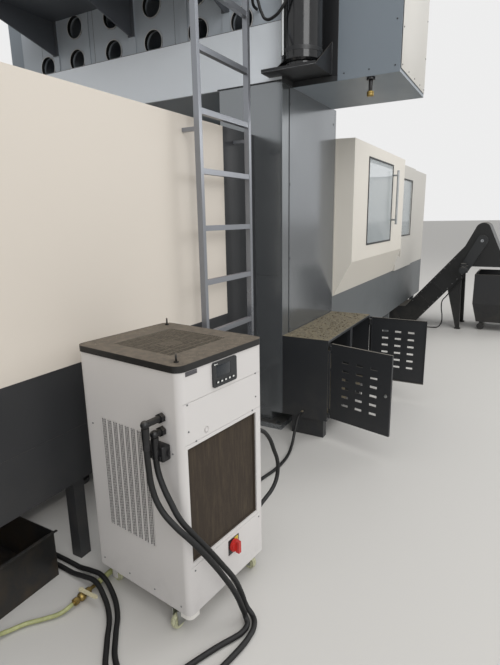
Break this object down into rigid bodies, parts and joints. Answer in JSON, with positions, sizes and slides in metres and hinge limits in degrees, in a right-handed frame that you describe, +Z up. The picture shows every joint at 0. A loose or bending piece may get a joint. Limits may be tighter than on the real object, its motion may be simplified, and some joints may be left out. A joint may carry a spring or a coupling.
{
  "type": "cnc machining center",
  "caption": "Double-column machining center with travelling table, enclosure, access ladder, chip conveyor with cart and an oil chiller on castors.",
  "frame": {"origin": "on the floor midway between the two columns", "axes": "+X along the table travel from the rear enclosure towards the front one, +Y across the bridge away from the operator side, +Z up"},
  "size_m": [9.68, 4.533, 4.2419],
  "materials": {
    "bed_casting": "satin machine paint",
    "pad_steel": "satin",
    "column_paint": "glossy machine enamel",
    "column_cover_paint": "glossy machine enamel",
    "beam_paint": "satin machine enamel",
    "beam_cover_paint": "satin machine enamel",
    "end_cover_paint": "satin sheet metal enamel",
    "deck_paint": "satin",
    "ladder_paint": "satin",
    "guard_beige": "fine textured powder coat",
    "guard_dark": "fine textured powder coat",
    "front_guard_white": "fine textured powder coat",
    "front_guard_grey": "fine textured powder coat",
    "door_cream": "satin powder coat",
    "window_pane": "clear safety pane",
    "bright_steel": "satin stainless",
    "ground_iron": "ground",
    "cover_sheet": "brushed sheet",
    "screw_steel": "polished",
    "saddle_paint": "satin",
    "ram_iron": "ground",
    "spindle_steel": "ground",
    "cabinet_paint": "satin powder coat",
    "bracket_paint": "satin",
    "tank_gloss": "glossy",
    "cable_jacket": "matt jacket",
    "hose_rubber": "satin rubber",
    "hose_clear": "translucent hose, aged yellow green",
    "conveyor_paint": "satin",
    "motor_paint": "satin",
    "cart_paint": "worn satin",
    "tray_steel": "oily satin",
    "chiller_white": "fine textured powder coat",
    "chiller_top_paint": "dusty powder coat",
    "fan_plastic": "matt",
    "filter_mesh": "dusty mesh",
    "panel_plastic": "membrane panel",
    "knob_red": "glossy",
    "fitting_black": "satin",
    "castor_zinc": "zinc plated",
    "castor_tread": "polyurethane tread",
    "valve_brass": "dull",
    "lever_red": "vinyl dipped"
  },
  "bodies": {
    "machine": {"bed": "bed_casting", "levelling_pads": "pad_steel", "column_near": "column_paint", "column_far": "column_paint", "column_covers": "column_cover_paint", "crossbeam": "beam_paint", "beam_rear_cover": "beam_cover_paint", "beam_end_covers": "end_cover_paint", "rear_deck": "deck_paint", "ladder": "ladder_paint", "rear_guard_upper": "guard_beige", "rear_guard_lower": "guard_dark", "front_guard_upper": "front_guard_white", "front_guard_lower": "front_guard_grey", "bed_end_covers": "cover_sheet", "cabinet": "cabinet_paint", "tank_bracket": "bracket_paint", "lubricant_tank": "tank_gloss", "tank_cable": "cable_jacket", "conveyor_body": "conveyor_paint", "conveyor_motor": "motor_paint", "conveyor_cable": "cable_jacket", "chip_cart": "cart_paint", "coolant_tray": "tray_steel", "chiller_housing": "chiller_white", "chiller_top": "chiller_top_paint", "chiller_filter": "filter_mesh", "control_panel": "panel_plastic", "hose_fittings": "fitting_black", "supply_hose": "hose_rubber", "return_hose": "hose_rubber", "power_cable": "cable_jacket", "drain_hose": "hose_clear", "drain_valve": "valve_brass"},
    "table": {"table": "ground_iron", "table_end_covers": "cover_sheet"},
    "rear_way_cover": {"rear_way_cover": "cover_sheet"},
    "front_way_cover": {"front_way_cover": "cover_sheet"},
    "x_screw": {"x_ball_screw": "screw_steel"},
    "saddle": {"saddle": "saddle_paint"},
    "y_screw": {"y_ball_screw": "screw_steel"},
    "ram": {"ram": "ram_iron"},
    "z_screw": {"z_ball_screw": "screw_steel"},
    "spindle": {"spindle": "spindle_steel"},
    "left_door": {"front_door_left": "door_cream", "door_window_left": "window_pane", "door_handle_left": "bright_steel"},
    "right_door": {"front_door_right": "front_guard_white", "door_window_right": "window_pane"},
    "cabinet_door_near": {"cabinet_door_near": "cabinet_paint"},
    "cabinet_door_far": {"cabinet_door_far": "cabinet_paint"},
    "conveyor_shaft": {"conveyor_shaft": "screw_steel"},
    "chiller_fan": {"chiller_fan": "fan_plastic"},
    "switch_knob": {"mains_switch_knob": "knob_red"},
    "castor_fork_left": {"castor_fork_left": "castor_zinc"},
    "castor_fork_right": {"castor_fork_right": "castor_zinc"},
    "castor_wheel_left": {"castor_wheel_left": "castor_tread"},
    "castor_wheel_right": {"castor_wheel_right": "castor_tread"},
    "rear_wheels": {"rear_castor_wheels": "castor_tread"},
    "valve_lever": {"valve_lever": "lever_red"}
  },
  "joints": [
    {"name": "table_slide", "type": "slide", "parent": "machine", "child": "table", "axis": [1, 0, 0], "range_m": [-1.15, 1.15]},
    {"name": "rear_way_cover_slide", "type": "slide", "parent": "machine", "child": "rear_way_cover", "axis": [1, 0, 0], "range_m": [-0.575, 0.575]},
    {"name": "front_way_cover_slide", "type": "slide", "parent": "machine", "child": "front_way_cover", "axis": [1, 0, 0], "range_m": [-0.575, 0.575]},
    {"name": "x_screw_spin", "type": "hinge", "parent": "machine", "child": "x_screw", "pos_m": [0, 0, 0.5], "axis": [1, 0, 0], "continuous": true},
    {"name": "saddle_slide", "type": "slide", "parent": "machine", "child": "saddle", "axis": [0, 1, 0], "range_m": [-0.72, 0.72]},
    {"name": "y_screw_spin", "type": "hinge", "parent": "machine", "child": "y_screw", "pos_m": [0.542, 0, 2.92], "axis": [0, 1, 0], "continuous": true},
    {"name": "ram_slide", "type": "slide", "parent": "saddle", "child": "ram", "axis": [0, 0, 1], "range_m": [-0.74, 0.01]},
    {"name": "z_screw_spin", "type": "hinge", "parent": "saddle", "child": "z_screw", "pos_m": [0.6603, 0, 3], "axis": [0, 0, 1], "continuous": true},
    {"name": "spindle_spin", "type": "hinge", "parent": "ram", "child": "spindle", "pos_m": [0.8803, 0, 2], "axis": [0, 0, 1], "continuous": true},
    {"name": "left_door_slide", "type": "slide", "parent": "machine", "child": "left_door", "axis": [1, 0, 0], "range_m": [-0.9, 0]},
    {"name": "right_door_slide", "type": "slide", "parent": "machine", "child": "right_door", "axis": [1, 0, 0], "range_m": [0, 0.96]},
    {"name": "near_cabinet_door_hinge", "type": "hinge", "parent": "machine", "child": "cabinet_door_near", "pos_m": [-0.508, -1.609, 0.45], "axis": [0, 0, 1], "range_deg": [-5, 105]},
    {"name": "far_cabinet_door_hinge", "type": "hinge", "parent": "machine", "child": "cabinet_door_far", "pos_m": [0.508, -1.609, 0.45], "axis": [0, 0, 1], "range_deg": [-90, 15]},
    {"name": "conveyor_shaft_spin", "type": "hinge", "parent": "machine", "child": "conveyor_shaft", "pos_m": [3.98, -2.225, 1.24], "axis": [1, 0, 0], "continuous": true},
    {"name": "chiller_fan_spin", "type": "hinge", "parent": "machine", "child": "chiller_fan", "pos_m": [-2.08234, -1.48624, 1], "axis": [0, 0, 1], "continuous": true},
    {"name": "main_switch_turn", "type": "hinge", "parent": "machine", "child": "switch_knob", "pos_m": [-2.09004, -1.76639, 0.25], "axis": [0.1219, 0.9925, 0], "range_deg": [0, 90]},
    {"name": "left_castor_swivel", "type": "hinge", "parent": "machine", "child": "castor_fork_left", "pos_m": [-2.30635, -1.65722, 0.08], "axis": [0, 0, 1], "continuous": true},
    {"name": "right_castor_swivel", "type": "hinge", "parent": "machine", "child": "castor_fork_right", "pos_m": [-1.90635, -1.70633, 0.08], "axis": [0, 0, 1], "continuous": true},
    {"name": "left_castor_wheel_spin", "type": "hinge", "parent": "castor_fork_left", "child": "castor_wheel_left", "pos_m": [-2.33776, -1.65111, 0.032], "axis": [-0.1908, -0.9816, 0], "continuous": true},
    {"name": "right_castor_wheel_spin", "type": "hinge", "parent": "castor_fork_right", "child": "castor_wheel_right", "pos_m": [-1.91025, -1.73809, 0.032], "axis": [0.9925, -0.1219, 0], "continuous": true},
    {"name": "rear_wheels_spin", "type": "hinge", "parent": "machine", "child": "rear_wheels", "pos_m": [-2.05663, -1.27682, 0.032], "axis": [0.9925, -0.1219, 0], "continuous": true},
    {"name": "valve_lever_turn", "type": "hinge", "parent": "machine", "child": "valve_lever", "pos_m": [-2.425, -1.205, 0.055], "axis": [0, 0, 1], "range_deg": [-90, 0]}
  ],
  "couplings": [
    {"joint": "rear_way_cover_slide", "follows": "table_slide", "ratio": 0.5},
    {"joint": "front_way_cover_slide", "follows": "table_slide", "ratio": 0.5},
    {"joint": "x_screw_spin", "follows": "table_slide", "rad_per_m": 157.08},
    {"joint": "y_screw_spin", "follows": "saddle_slide", "rad_per_m": 157.08},
    {"joint": "z_screw_spin", "follows": "ram_slide", "rad_per_m": 157.08}
  ]
}
